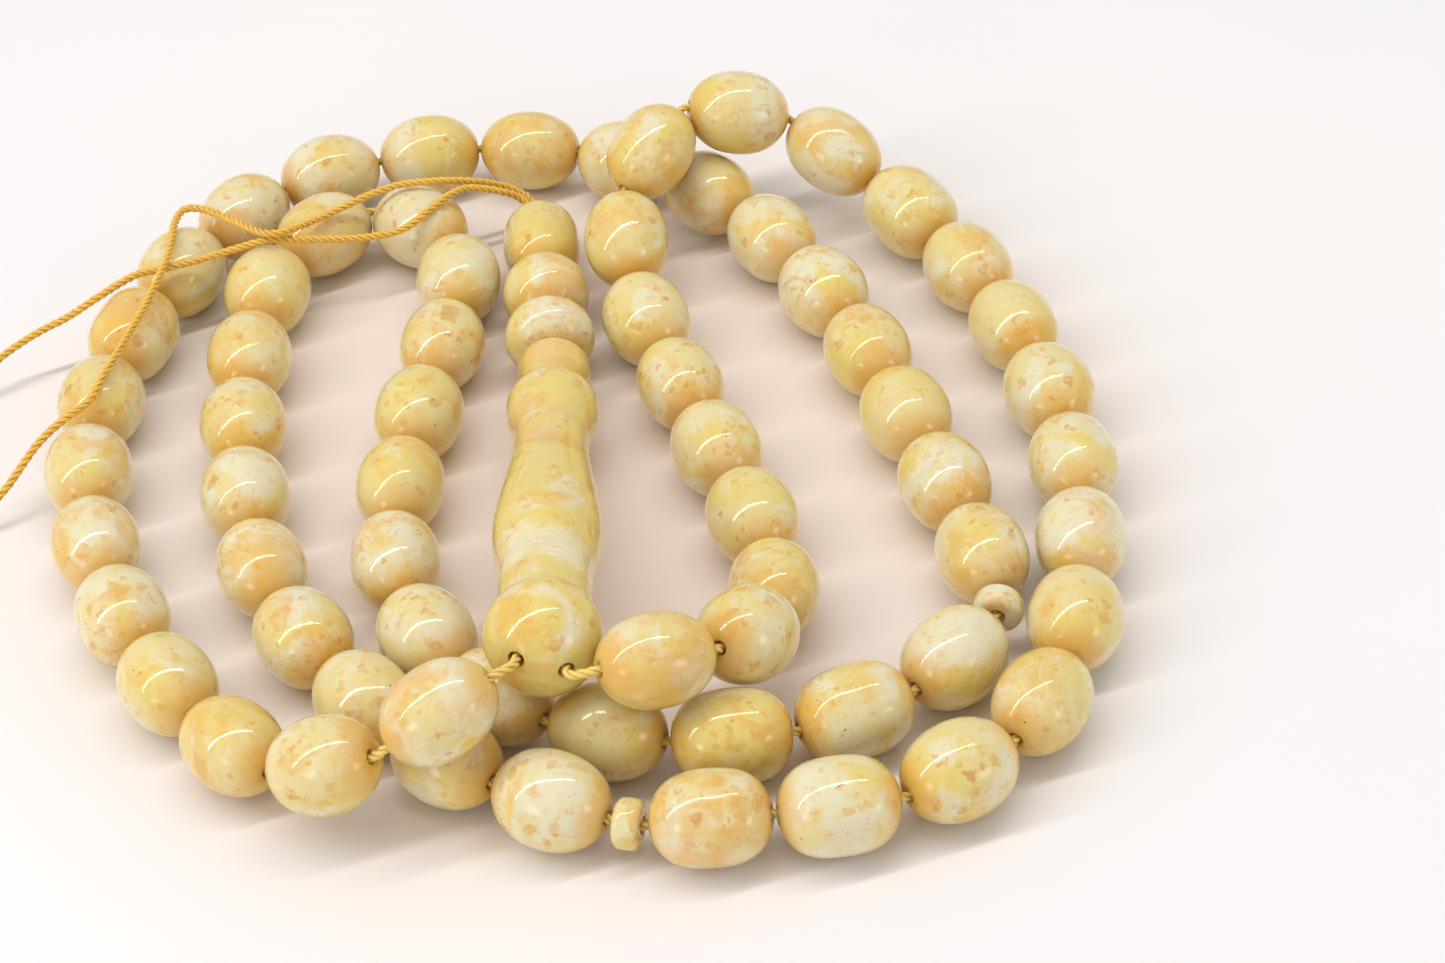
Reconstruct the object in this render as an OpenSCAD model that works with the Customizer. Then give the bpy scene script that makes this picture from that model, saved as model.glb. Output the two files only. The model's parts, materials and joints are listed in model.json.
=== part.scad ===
// Misbaha: a string of 66 oval amber prayer beads, counted off in three runs of 22 by two small discs.
// Both ends of the cord enter the ball of the imame, the long turned head piece. They leave it together
// through its tip and three end beads, and part there into two loose tails, each closed by a knot.
// The string lies on a table in a doubled loop that crosses over itself at the front and at the back.
// +Z is up, +Y runs along the imame from its ball to its tip, and the origin is on the table under the
// middle of the string. Millimetres.

/* [Beads] */
// Length of a bead along its bore
bead_l = 12; // [11.6:0.1:12]
// Largest diameter of a bead
bead_d = 10; // [9.2:0.1:10]
// How much thinner the slimmest bead of the set is
bead_spread = 0.4; // [0:0.1:0.6]
// Bore through a bead
bead_bore_d = 1.5; // [1.3:0.1:1.7]
// Mouth of the bore, where its edge is eased
bead_mouth_d = 1.9; // [1.9:0.1:2.2]
// Flat around the mouth, where neighbouring beads touch
bead_rim_d = 2.4; // [2.4:0.1:3]
// Play between two beads on a straight stretch
bead_play = 0.28; // [0.2:0.02:0.34]

/* [Counting discs] */
// Diameter of a disc
disc_d = 5.2; // [4.4:0.1:6]
// Bore of a disc, which hangs a little low on the cord
disc_bore_d = 1.8; // [1.6:0.1:2]
// Thickness of a disc
disc_t = 2.8; // [2:0.1:3]
// Radius of the rounding on a disc's edge
disc_round = 0.9; // [0.4:0.1:1]

/* [Imame] */
// Diameter of the ball with the two cord holes
ball_d = 12; // [11:0.1:12]
// Diameter of the neck behind the ball
neck_d = 9.7; // [9:0.1:10.4]
// Largest diameter of the long body
body_d = 11.5; // [11:0.1:12]
// Diameter of the waist, where the body is thinnest
waist_d = 8.3; // [7.6:0.1:9]
// Diameter of the collar before the tip
collar_d = 10.3; // [9.4:0.1:11]
// Diameter of the rounded tip
tip_d = 8.2; // [7.6:0.1:8.4]
// Bore along the axis, which takes both ends of the cord
axis_bore_d = 2.8; // [2.7:0.1:3]
// Each of the two holes in the ball
ball_hole_d = 1.7; // [1.5:0.1:1.9]
// Depth of the turned rings beside the collar
ring_depth = 0.12; // [0.05:0.01:0.2]

/* [End beads] */
// Diameter of the end bead next to the tip
end_1_d = 10.4; // [9.6:0.1:10.5]
// Its length
end_1_l = 7.2; // [6.4:0.1:7.3]
// Diameter of the middle end bead
end_2_d = 10.1; // [9.4:0.1:10.2]
// Its length
end_2_l = 8.6; // [7.8:0.1:8.8]
// Diameter of the last end bead, the slimmest
end_3_d = 9.1; // [8.4:0.1:9.2]
// Its length
end_3_l = 11.4; // [10.4:0.1:11.6]

/* [Cord] */
// Thickness of the cord in the beads, where both plies are plump
cord_d = 1; // [0.8:0.1:1]
// Thickness of each tail, where the twist is tighter
tail_d = 0.8; // [0.6:0.1:0.9]
// Width across a knot
knot_d = 2.2; // [2:0.1:2.6]

/* [Hidden] */
$fn = 48;
RUNS = 3;
RUN_BEADS = 22;
BEADS = RUNS * RUN_BEADS;

// Beads that lie under the crossings and hold them up, each set in one node
FRONT_CROSSING = [23, 24, 25, 39, 40, 41, 42, 43];
BACK_CROSSING = [50, 51, 52, 53];
UNDER_TAILS = [31, 32, 33, 34, 56, 57, 58, 59];
GROUPED = concat(FRONT_CROSSING, BACK_CROSSING, UNDER_TAILS);
// Beads with full shoulders and flat ends; the others are oval
BARRELS = [21, 22, 42, 43, 58, 12];

function bead_name(k) = str("bead_", k < 10 ? "0" : "", k);
function listed(k, list) = len([for (v = list) if (v == k) v]) > 0;
SINGLES = [for (k = [1:BEADS]) if (!listed(k, GROUPED)) k];

// ---- Route of the loop: the middle of the bores, from the right hole of the ball round to the left one ----
LOOP = [
    [-0.7, -47, 15.2], [8, -47, 15.6], [18, -38.5, 10], [21, -27, 5],
    [18.5, -13, 5], [15, -1, 5], [12, 11, 5], [8.5, 21.5, 5], [6.7, 35, 8.3],
    [11, 45.4, 14], [22.5, 51, 14.6], [34, 45, 8], [42, 36.5, 5],
    [50.5, 14, 5], [54, -11, 5], [50.5, -36, 5], [45.5, -47.5, 5], [36.5, -56, 5],
    [24, -58.5, 5], [12, -58.5, 5], [4.5, -57.5, 4.2], [-3, -54.5, 5], [-13, -48, 5], [-22, -38, 5],
    [-33.5, -17.5, 5], [-37, 9, 5], [-35.5, 34, 5], [-29.5, 46, 5], [-17, 46, 5], [-12, 34, 5],
    [-17, 9, 5], [-20, -15, 5], [-17, -27, 5], [-9.5, -38.5, 5],
    [1, -45, 5], [14, -48, 5], [27, -46, 5], [38, -40, 5], [43, -32.5, 5], [42.5, -24, 5],
    [37, -1, 5], [30.5, 22, 5], [19, 44.5, 5], [9.5, 52.5, 5],
    [-3, 58, 5], [-16, 59, 5], [-28.5, 56.5, 5], [-39, 50, 5],
    [-51, 27, 5], [-54, 3, 5], [-48, -22, 5], [-35, -43.5, 5],
    [-24, -50.5, 8], [-12.5, -51.5, 16.6], [-5.6, -46.5, 16.8]
];
STEPS = 8;

// A smooth curve through p1 and p2, at share t of the way between them
function between(p0, p1, p2, p3, t) =
    0.5 * (2 * p1 + (p2 - p0) * t + (2 * p0 - 5 * p1 + 4 * p2 - p3) * t * t
           + (3 * p1 - p0 - 3 * p2 + p3) * t * t * t);
function smooth(points, steps) =
    let (n = len(points) - 1)
    [for (i = [0:n - 1], j = [0:steps - 1])
        between(points[max(i - 1, 0)], points[i], points[i + 1], points[min(i + 2, n)], j / steps),
     points[n]];
function running_length(line) =
    [for (i = 0, s = 0; i < len(line); s = s + (i + 1 < len(line) ? norm(line[i + 1] - line[i]) : 0),
      i = i + 1) s];
function unit(v) = v / norm(v);

loop_line = smooth(LOOP, STEPS);
loop_run = running_length(loop_line);
loop_axis = [for (axis = [0:2]) [for (i = [0:len(loop_line) - 1]) [loop_run[i], loop_line[i][axis]]]];
loop_length = loop_run[len(loop_run) - 1];
// The point that lies a length s along the loop
function on_loop(s) = [for (axis = [0:2]) lookup(s, loop_axis[axis])];

// ---- What is strung on the loop, in order: beads by number, and the discs as -1 and -2 ----
STRUNG = [for (run = [0:RUNS - 1])
    each concat([for (k = [1:RUN_BEADS]) run * RUN_BEADS + k], run < RUNS - 1 ? [-run - 1] : [])];
// Cord left bare between the ball and the first bead, and between the last two beads
FIRST_GAP = 3.2;
LAST_GAP = 2.4;

function strung_length(item) = item > 0 ? bead_l : disc_t;
// Angle that the route turns through between its stretches from a to b and from c to d
function turn(a, b, c, d) = acos(min(1, unit(on_loop(b) - on_loop(a)) * unit(on_loop(d) - on_loop(c))));
// A straight bore spans a bend as a chord, so it takes up a little more of the route than its length
function taken(item, s) =
    let (l = strung_length(item), half = turn(s, s + l / 2, s + l / 2, s + l))
    l * (half < 1 ? 1 : half * PI / 180 / sin(half));
// Two rims meet first on the inside of a bend, so the play opens with the bend's angle
// Beyond a slight bend their shoulders meet before their rims do
SHOULDER_BEND = 44;
SHOULDER_PLAY = 0.03;
function bend_at(s) = turn(s - bead_l, s, s + bead_play, s + bead_play + bead_l);
function gap_after(item, s) =
    item == BEADS - 1 ? LAST_GAP
        : bead_play + bead_rim_d * tan(bend_at(s) / 2) + SHOULDER_PLAY * max(0, bend_at(s) - SHOULDER_BEND);
function next_start(item, s) = let (e = s + taken(item, s)) e + gap_after(item, e);
starts = [for (i = 0, s = FIRST_GAP; i < len(STRUNG); s = next_start(STRUNG[i], s), i = i + 1) s];
// The two ends of a strung piece's bore
ends = [for (i = [0:len(STRUNG) - 1])
    let (s = starts[i], a = on_loop(s), b = on_loop(s + taken(STRUNG[i], s)), middle = (a + b) / 2,
         half = unit(b - a) * strung_length(STRUNG[i]) / 2,
         lift = [0, 0, STRUNG[i] > 0 ? max(0, bead_d / 2 - middle.z) : 0])
    [middle - half + lift, middle + half + lift]];
function place_of(item) = search([item], STRUNG)[0];

// ---- Turned shapes ----
module along(a, b) {
    v = b - a;
    translate((a + b) / 2)
        rotate([0, acos(v.z / norm(v)), atan2(v.y, v.x)])
            children();
}

// Half outline of a drilled bead: an oval cut off at the rims, with eased mouths.
// fullness 2 is an ellipse, and more than that is a barrel.
PROFILE_STEP = 10;
OVAL = 2.15;
BARREL = 2.8;
function bead_outline(l, d, fullness, rim_d, mouth_d, bore_d) =
    let (cut = 1 - pow(rim_d / d, 2), ease = (mouth_d - bore_d) / 2)
    concat(
        [for (a = [-90:PROFILE_STEP:90])
            [d / 2 * sqrt(1 - cut * pow(abs(sin(a)), fullness)), l / 2 * sin(a)]],
        [[mouth_d / 2, l / 2], [bore_d / 2, l / 2 - ease],
         [bore_d / 2, ease - l / 2], [mouth_d / 2, -l / 2]]);

// Hand-turned beads differ a little: a fixed spread of diameters that repeats with the number
function turned_d(k) = bead_d - bead_spread * (0.5 + 0.5 * sin(137 * k));

module bead(k) {
    at = ends[place_of(k)];
    color("wheat")
        along(at[0], at[1])
            rotate_extrude()
                polygon(bead_outline(bead_l, turned_d(k), listed(k, BARRELS) ? BARREL : OVAL,
                                     bead_rim_d, bead_mouth_d, bead_bore_d));
}

module beads(numbers) {
    for (k = numbers)
        bead(k);
}

// A small lozenge of amber with a rounded edge
module disc(number) {
    at = ends[place_of(-number)];
    color("khaki")
        along(at[0], at[1])
            rotate_extrude()
                difference() {
                    union() {
                        translate([0, -disc_t / 2])
                            square([disc_d / 2 - disc_round, disc_t]);
                        translate([0, disc_round - disc_t / 2])
                            square([disc_d / 2, disc_t - 2 * disc_round]);
                        for (side = [-1, 1])
                            translate([disc_d / 2 - disc_round, side * (disc_t / 2 - disc_round)])
                                circle(disc_round);
                    }
                    translate([0, -disc_t])
                        square([disc_bore_d / 2, 2 * disc_t]);
                }
}

// ---- Imame ----
BALL = [-3, -41, 14.7];
TIP = [-1.8, 13.2, 5.1];
imame_way = unit(TIP - BALL);
// Distances from the ball's middle along the axis
NECK_AT = 10.6;
BODY_AT = 19;
WAIST_AT = 38.5;
COLLAR_AT = 46;
GROOVE_AT = 50.6;
TIP_AT = norm(TIP - BALL);
TIP_END = TIP_AT + 2.1;
RINGS = [47.9, 48.7, 49.5];
GROOVE_DEPTH = 0.5;
// The tip's end is nearly flat around the bore
TIP_FLAT = 0.4;
// The axial bore starts here, and the two holes in the ball run on into it, to either side of its axis
JUNCTION_AT = 6;
JUNCTION_DROP = 0.4;
MEET_AT = 9;
MEET_ASIDE = 0.3;
function on_imame(s) = BALL + imame_way * s;

// Radius of the turned body: an eased curve from each extreme to the next
stations = [[NECK_AT, neck_d / 2], [BODY_AT, body_d / 2], [WAIST_AT, waist_d / 2],
            [COLLAR_AT, collar_d / 2], [GROOVE_AT, tip_d / 2 - GROOVE_DEPTH], [TIP_AT, tip_d / 2]];
function eased(a, b, u) = a + (b - a) * (1 - cos(180 * u)) / 2;
EASE_STEPS = 8;
body_outline = [for (i = [0:len(stations) - 2], j = [0:EASE_STEPS - 1])
    let (u = j / EASE_STEPS, a = stations[i], b = stations[i + 1])
    [eased(a[1], b[1], u), a[0] + (b[0] - a[0]) * u]];
// The ball is a true arc that ends just inside the neck's radius, so a fine groove parts them
NECK_GROOVE = 0.985;
ball_turn = acos(neck_d / ball_d * NECK_GROOVE);
ball_outline = [for (a = [-90:10:ball_turn]) ball_d / 2 * [cos(a), sin(a)]];
tip_outline = [for (a = [0:15:75])
    [tip_d / 2 * cos(a) + TIP_FLAT * sin(a), TIP_AT + (TIP_END - TIP_AT) * sin(a)]];

// The two holes in the ball, where the loop begins and ends
holes = [LOOP[0], LOOP[len(LOOP) - 1]];
// Both ends of the cord run side by side from the junction to the last end bead
CORD_PART = 0.03;
function beside(side) = [side * (cord_d / 2 + CORD_PART), 0, 0];
function lane(s, side) = on_imame(s) + beside(side);

module imame() {
    color("palegoldenrod")
        difference() {
            translate(BALL)
                rotate([0, acos(imame_way.z), atan2(imame_way.y, imame_way.x)])
                    rotate_extrude()
                        difference() {
                            polygon(concat(ball_outline, body_outline, tip_outline, [[0, TIP_END]]));
                            translate([0, JUNCTION_AT])
                                square([axis_bore_d / 2, TIP_END]);
                            for (s = RINGS)
                                translate([lookup(s, [for (p = body_outline) [p.y, p.x]]), s])
                                    rotate(45)
                                        square(ring_depth * sqrt(2), center = true);
                        }
            for (side = [0, 1])
                hole_to_junction(holes[side], on_imame(MEET_AT) + [(1 - 2 * side) * MEET_ASIDE, 0, 0]);
            translate(on_imame(JUNCTION_AT + JUNCTION_DROP))
                sphere(axis_bore_d / 2);
        }
}

// A straight hole from outside the ball to the start of the axial bore
OUTSIDE = 3;
module hole_to_junction(mouth, inner) {
    v = unit(inner - mouth);
    translate(mouth - v * OUTSIDE)
        rotate([0, acos(v.z), atan2(v.y, v.x)])
            cylinder(d = ball_hole_d, h = norm(inner - mouth) + OUTSIDE);
}

// ---- End beads, strung beyond the tip on both ends of the cord ----
end_d = [end_1_d, end_2_d, end_3_d];
end_l = [end_1_l, end_2_l, end_3_l];
END_RIM = 1.1;
END_EASE = 0.5;
// The tip's end and the middles of the three beads
END_POINTS = [on_imame(TIP_END), [-2.2, 19.4, 5.3], [-2.5, 27.8, 5.1], [-2.9, 38.3, 4.6]];
module end_bead(i) {
    middle = END_POINTS[i];
    way = unit(i == 3 ? END_POINTS[3] - END_POINTS[2] : END_POINTS[i + 1] - END_POINTS[i - 1]);
    color("wheat")
        along(middle - way, middle + way)
            rotate_extrude()
                polygon(bead_outline(end_l[i - 1], end_d[i - 1], i == 3 ? BARREL : OVAL,
                                     axis_bore_d + END_RIM, axis_bore_d + END_EASE, axis_bore_d));
}

// ---- Cord ----
SIDES = 8;
// A closed tube along a line of points, with a ring of SIDES corners at each of them
module tube(line, d) {
    n = len(line);
    rings = [for (i = [0:n - 1])
        let (way = unit(line[min(i + 1, n - 1)] - line[max(i - 1, 0)]),
             flat = abs(way.z) > 0.9 ? [1, 0, 0] : [0, 0, 1],
             u = unit(cross(way, flat)), w = cross(u, way))
        for (j = [0:SIDES - 1])
            line[i] + d / 2 * (u * cos(360 * j / SIDES) + w * sin(360 * j / SIDES))];
    polyhedron(rings, concat(
        [[for (j = [SIDES - 1:-1:0]) j]],
        [for (i = [0:n - 2], j = [0:SIDES - 1])
            let (k = (j + 1) % SIDES)
            [i * SIDES + j, i * SIDES + k, (i + 1) * SIDES + k, (i + 1) * SIDES + j]],
        [[for (j = [0:SIDES - 1]) (n - 1) * SIDES + j]]));
}

// Where the two runs of cord leave the last end bead
CORD_OUT = 0.4;
LAST_END = END_POINTS[3] + unit(END_POINTS[3] - END_POINTS[2]) * (end_3_l / 2 + CORD_OUT);
module loop_cord() {
    leg = [for (side = [1, -1]) [for (p = [LAST_END, END_POINTS[3], END_POINTS[2], END_POINTS[1]])
        p + beside(side)]];
    inside = [for (side = [1, -1]) [lane(TIP_END, side), lane(MEET_AT, side)]];
    strung = [for (e = ends) each e];
    color("goldenrod")
        tube(concat(leg[0], inside[0], [LOOP[0]], strung, [LOOP[len(LOOP) - 1]],
                    [inside[1][1], inside[1][0]], [for (i = [3:-1:0]) leg[1][i]]), cord_d);
}

TAIL_A = concat([LAST_END + beside(1)], [
    [-4.5, 48, 5], [-7.5, 48, 7], [-11, 46.5, 9], [-14.5, 45, 10.5], [-19, 44.5, 10.8], [-22.5, 43.5, 10.5],
    [-26, 42, 10], [-29, 40, 10], [-32.5, 36.3, 11.3], [-35, 36.3, 11.4], [-38, 39.3, 10.9],
    [-42, 43.2, 10.5], [-44.6, 43.9, 10.5], [-45.7, 41.5, 10.6], [-45.9, 36.5, 10.8], [-46.4, 32.5, 10.8],
    [-48.2, 25, 10.6], [-50.4, 17.5, 10.6], [-51.8, 13.5, 10.4], [-53.4, 9.8, 9.6], [-56, 7.8, 9],
    [-59.2, 5.4, 7.5],
    [-63, 1.8, 4.5], [-66.5, -0.5, 2.5], [-70, -2.5, 0.8], [-74, -4, 0.5]
]);
TAIL_B = concat([LAST_END + beside(-1)], [
    [-5, 46.6, 5.6], [-7.5, 46, 7.5], [-11, 44.8, 9.2], [-13.2, 42.8, 9.9], [-15.6, 40.4, 9.7],
    [-19, 37.8, 9], [-24, 37.2, 8.8], [-29.5, 36.8, 9.5], [-33, 36.4, 10.2], [-35.5, 36, 10.4],
    [-38.6, 35.8, 9.8], [-42.6, 34.5, 9.7], [-46.7, 33.2, 9.8], [-50, 32.2, 9.9], [-54.3, 29.8, 9],
    [-58, 29, 7.2], [-62, 27.8, 6], [-66, 25.5, 4.8], [-70, 23, 2.8], [-74, 20.5, 0.8], [-78, 18.5, 0.5]
]);
TAIL_STEPS = 2;
module tail_cord_a() {
    color("goldenrod")
        tube(smooth(TAIL_A, TAIL_STEPS), tail_d);
}
module tail_cord_b() {
    color("goldenrod")
        tube(smooth(TAIL_B, TAIL_STEPS), tail_d);
}

// A small round knot, threaded on the last of the tail
module knot(route) {
    last = route[len(route) - 1];
    way = unit(last - route[len(route) - 2]);
    color("darkgoldenrod")
        translate([last.x, last.y, knot_d / 2] + way * (knot_d / 2))
            sphere(d = knot_d);
}

module tail_knot_a() { knot(TAIL_A); }
module tail_knot_b() { knot(TAIL_B); }
module front_crossing_beads() { beads(FRONT_CROSSING); }
module back_crossing_beads() { beads(BACK_CROSSING); }
module beads_under_tails() { beads(UNDER_TAILS); }

imame();
for (i = [1:3])
    end_bead(i);
for (i = [1:RUNS - 1])
    disc(i);
for (k = SINGLES)
    bead(k);
front_crossing_beads();
back_crossing_beads();
beads_under_tails();
loop_cord();
tail_cord_a();
tail_cord_b();
tail_knot_a();
tail_knot_b();
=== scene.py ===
"""Looks of the amber misbaha: camera, cords, beads, imame, materials, floor and light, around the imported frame.

Places and directions of the beads come from the frame; lengths below are in metres, or in millimetres times MM.
"""

import json
import math

import bpy
import numpy as np
from mathutils import Matrix, Vector, noise


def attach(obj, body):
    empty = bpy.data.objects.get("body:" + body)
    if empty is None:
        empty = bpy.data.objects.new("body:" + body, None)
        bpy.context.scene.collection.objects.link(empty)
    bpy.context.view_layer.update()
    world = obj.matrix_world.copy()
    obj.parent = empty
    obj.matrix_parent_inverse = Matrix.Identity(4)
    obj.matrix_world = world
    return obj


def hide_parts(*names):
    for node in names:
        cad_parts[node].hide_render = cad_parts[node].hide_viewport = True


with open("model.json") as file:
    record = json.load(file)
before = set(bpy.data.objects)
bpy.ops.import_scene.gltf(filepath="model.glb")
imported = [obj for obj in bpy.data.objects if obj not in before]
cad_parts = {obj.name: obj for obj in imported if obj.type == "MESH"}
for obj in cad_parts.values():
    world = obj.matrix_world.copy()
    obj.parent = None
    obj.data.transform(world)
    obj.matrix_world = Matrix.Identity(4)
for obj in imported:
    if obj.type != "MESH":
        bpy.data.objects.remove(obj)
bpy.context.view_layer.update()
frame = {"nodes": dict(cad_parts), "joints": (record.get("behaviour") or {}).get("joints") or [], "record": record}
MM = 0.001


# ---- Camera: stands in front of the string, looks down on it, tilted a little to its left ----
CAMERA_TARGET = Vector((16.0, -2.5, 0)) * MM
CAMERA_DISTANCE = 365.7 * MM
CAMERA_ELEVATION = math.radians(40.29)
CAMERA_ROLL = math.radians(-5.147)
CAMERA_LENS = 82.6


def make_camera():
    data = bpy.data.cameras.new("camera")
    data.lens = CAMERA_LENS
    data.sensor_width = 36
    data.clip_start = 0.01
    data.clip_end = 20
    camera = bpy.data.objects.new("camera", data)
    bpy.context.scene.collection.objects.link(camera)
    back = Vector((0, -math.cos(CAMERA_ELEVATION), math.sin(CAMERA_ELEVATION)))
    right = Vector((1, 0, 0))
    up = back.cross(right)
    turn = Matrix((right, up, back)).transposed() @ Matrix.Rotation(CAMERA_ROLL, 3, "Z")
    camera.matrix_world = Matrix.Translation(CAMERA_TARGET + back * CAMERA_DISTANCE) @ turn.to_4x4()
    bpy.context.scene.camera = camera


# ---- Meshes ----
def make_object(name, points, faces, material, uvs=None):
    mesh = bpy.data.meshes.new(name)
    mesh.from_pydata([tuple(p) for p in points], [], faces)
    mesh.polygons.foreach_set("use_smooth", [True] * len(mesh.polygons))
    if uvs is not None:
        layer = mesh.uv_layers.new(name="along")
        layer.data.foreach_set("uv", np.asarray(uvs, np.float32).ravel())
    mesh.materials.append(material)
    mesh.update()
    made = bpy.data.objects.new(name, mesh)
    bpy.context.scene.collection.objects.link(made)
    return made


def axes_of(way):
    """Two directions across way, which with it make a right-handed set."""
    side = way.cross(Vector((0, 0, 1)) if abs(way.z) < 0.9 else Vector((1, 0, 0))).normalized()
    return side, way.cross(side)


def finish_piece(piece, body, slot, *nodes):
    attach(piece, body)
    if nodes:
        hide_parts(*nodes)
    return piece


# ---- Where the beads are ----
def solids_of(node):
    """Points and triangle corners of each separate solid in a CAD node."""
    mesh = frame["nodes"][node].data
    mesh.calc_loop_triangles()
    points = np.array([v.co for v in mesh.vertices], float)
    triangles = np.array([t.vertices for t in mesh.loop_triangles], int)
    keys, merged = np.unique(np.round(points * 1e7).astype(np.int64), axis=0, return_inverse=True)
    merged = merged.ravel()
    parent = list(range(len(keys)))

    def root(i):
        while parent[i] != i:
            parent[i] = parent[parent[i]]
            i = parent[i]
        return i

    for a, b, c in merged[triangles]:
        parent[root(a)] = root(b)
        parent[root(b)] = root(c)
    label = np.array([root(merged[t[0]]) for t in triangles])
    return [points[triangles[label == value]] for value in np.unique(label)]


def turned_frame(corners):
    """Middle, axis, length and diameter of a turned solid, from its surface."""
    area = np.linalg.norm(np.cross(corners[:, 1] - corners[:, 0], corners[:, 2] - corners[:, 0]), axis=1)
    middle = corners.mean(axis=1)
    centre = (middle * area[:, None]).sum(0) / area.sum()
    spread = np.einsum("i,ij,ik->jk", area, middle - centre, middle - centre)
    values, ways = np.linalg.eigh(spread)
    odd = 2 if values[2] - values[1] > values[1] - values[0] else 0
    axis = ways[:, odd]
    flat = corners.reshape(-1, 3) - centre
    run = flat @ axis
    centre = centre + axis * (run.max() + run.min()) / 2
    across = np.linalg.norm(flat - np.outer(run, axis), axis=1)
    return Vector(centre), Vector(axis), run.max() - run.min(), 2 * across.max()


RUN = 22
RUNS = 3
GROUPS = {
    "front_crossing_beads": [23, 24, 25, 39, 40, 41, 42, 43],
    "back_crossing_beads": [50, 51, 52, 53],
    "beads_under_tails": [31, 32, 33, 34, 56, 57, 58, 59],
}
BARRELS = [21, 22, 42, 43, 58, 12]
GROUP_OF = {k: node for node, numbers in GROUPS.items() for k in numbers}
BODY_OF = {node: body for body, nodes in frame["record"]["behaviour"]["bodies"].items() for node in nodes}


def strung_pieces():
    """Every bead and disc in order along the loop, each with its two bore ends in that order."""
    names = []
    for k in range(1, RUN * RUNS + 1):
        names.append(("bead", k))
        if k % RUN == 0 and k < RUN * RUNS:
            names.append(("disc", k // RUN))
    waiting = {node: [turned_frame(s) for s in solids_of(node)] for node in GROUPS}
    last = HOLE_RIGHT
    found = []
    for kind, k in names:
        node = GROUP_OF.get(k) if kind == "bead" else None
        if node:
            near = min(waiting[node], key=lambda t: (t[0] - last).length)
            waiting[node].remove(near)
        else:
            node = f"bead_{k:02d}" if kind == "bead" else f"disc_{k}"
            near = turned_frame(solids_of(node)[0])
            joint = next(j for j in frame["joints"] if j["child"] == BODY_OF[node])
            near = (Vector(joint["pos_m"]), Vector(joint["axis"]), near[2], near[3])
        centre, axis, length, diameter = near
        if (centre - axis * length / 2 - last).length > (centre + axis * length / 2 - last).length:
            axis = -axis
        last = centre + axis * length / 2
        found.append({"kind": kind, "number": k, "node": node, "centre": centre, "axis": axis,
                      "length": length, "diameter": diameter})
    return found


# ---- Turned pieces ----
AROUND = 64


def lathe(name, outline, centre, axis, material, wobble=0.0, seed=0, closed=True):
    """A turned piece. outline is [(radius, height)], a closed ring where the bore goes right through, and otherwise
    a line that starts and ends on the axis. wobble is how far a hand-made surface strays from the true round."""
    side, over = axes_of(axis)
    points, faces, rings = [], [], []
    shift = Vector((seed * 17.3, seed * 5.1, seed * 9.7))
    for radius, height in outline:
        if radius < 1e-9:
            rings.append([len(points)])
            points.append(centre + axis * height)
            continue
        ring = []
        for j in range(AROUND):
            turn = 2 * math.pi * j / AROUND
            out = side * math.cos(turn) + over * math.sin(turn)
            place = out * radius + axis * height
            stray = noise.noise(place / (4.2 * MM) + shift) + 0.35 * noise.noise(place / (1.6 * MM) + shift)
            ring.append(len(points))
            points.append(centre + place + out * wobble * stray)
        rings.append(ring)
    pairs = list(zip(rings, rings[1:])) + ([(rings[-1], rings[0])] if closed else [])
    for low, high in pairs:
        for j in range(AROUND):
            k = (j + 1) % AROUND
            if len(low) == 1:
                faces.append((low[0], high[k], high[j]))
            elif len(high) == 1:
                faces.append((low[j], low[k], high[0]))
            else:
                faces.append((low[j], low[k], high[k], high[j]))
    return make_object(name, points, faces, material)


def bead_outline(length, diameter, fullness, rim, mouth, bore):
    """An oval or barrel with rounded rims and eased bore mouths, from one mouth over the outside to the other and
    back through the bore."""
    cut = 1 - (rim / diameter) ** 2
    steps = BEAD_STEPS
    outside = []
    for i in range(steps + 1):
        a = -math.pi / 2 + math.pi * i / steps
        s = math.sin(a)
        outside.append((diameter / 2 * math.sqrt(1 - cut * abs(s) ** fullness), length / 2 * s))
    soft = 0.12 * MM
    half = length / 2
    top = [(rim / 2 - soft, half + 0.02 * MM), (mouth / 2 + soft, half), (mouth / 2, half - 0.06 * MM),
           (bore / 2 + 0.03 * MM, half - 0.3 * MM), (bore / 2, half - 0.6 * MM), (bore / 2, half * 0.5)]
    bottom = [(r, -h) for r, h in reversed(top)]
    return outside[1:-1] + [(outside[-1][0], half - 0.04 * MM)] + top + bottom + [(outside[0][0], 0.04 * MM - half)]


BEAD_STEPS = 30
# Exponents of the side's curve: fuller towards the rims as they grow
OVAL = 2.15
BARREL = 2.8
RIM = 2.4 * MM
MOUTH = 1.7 * MM
BORE = 1.35 * MM
HAND_WOBBLE = 0.05 * MM


def make_bead(item, material):
    k = item["number"]
    outline = bead_outline(item["length"], item["diameter"], BARREL if k in BARRELS else OVAL, RIM, MOUTH, BORE)
    piece = lathe(f"amber_bead_{k:02d}", outline, item["centre"], item["axis"], material, HAND_WOBBLE, k)
    tone_piece(piece, k)
    paint_end_shade(piece, item["centre"], item["axis"], item["length"])
    return finish_piece(piece, BODY_OF[item["node"]], "bead_amber", item["node"])


def tone_piece(piece, k):
    """How warm, how milky and how flaky a piece is, from 0 to 1, as a colour that the amber material reads."""
    warm = 0.5 + 0.5 * math.sin(2.399 * k)
    milky = 0.5 + 0.5 * math.sin(1.7 + 1.13 * k)
    flaky = 0.5 + 0.5 * math.sin(0.6 + 4.37 * k)
    layer = piece.data.attributes.new("tone", "FLOAT_COLOR", "POINT")
    layer.data.foreach_set("color", [warm, milky, flaky, 1.0] * len(piece.data.vertices))


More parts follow.
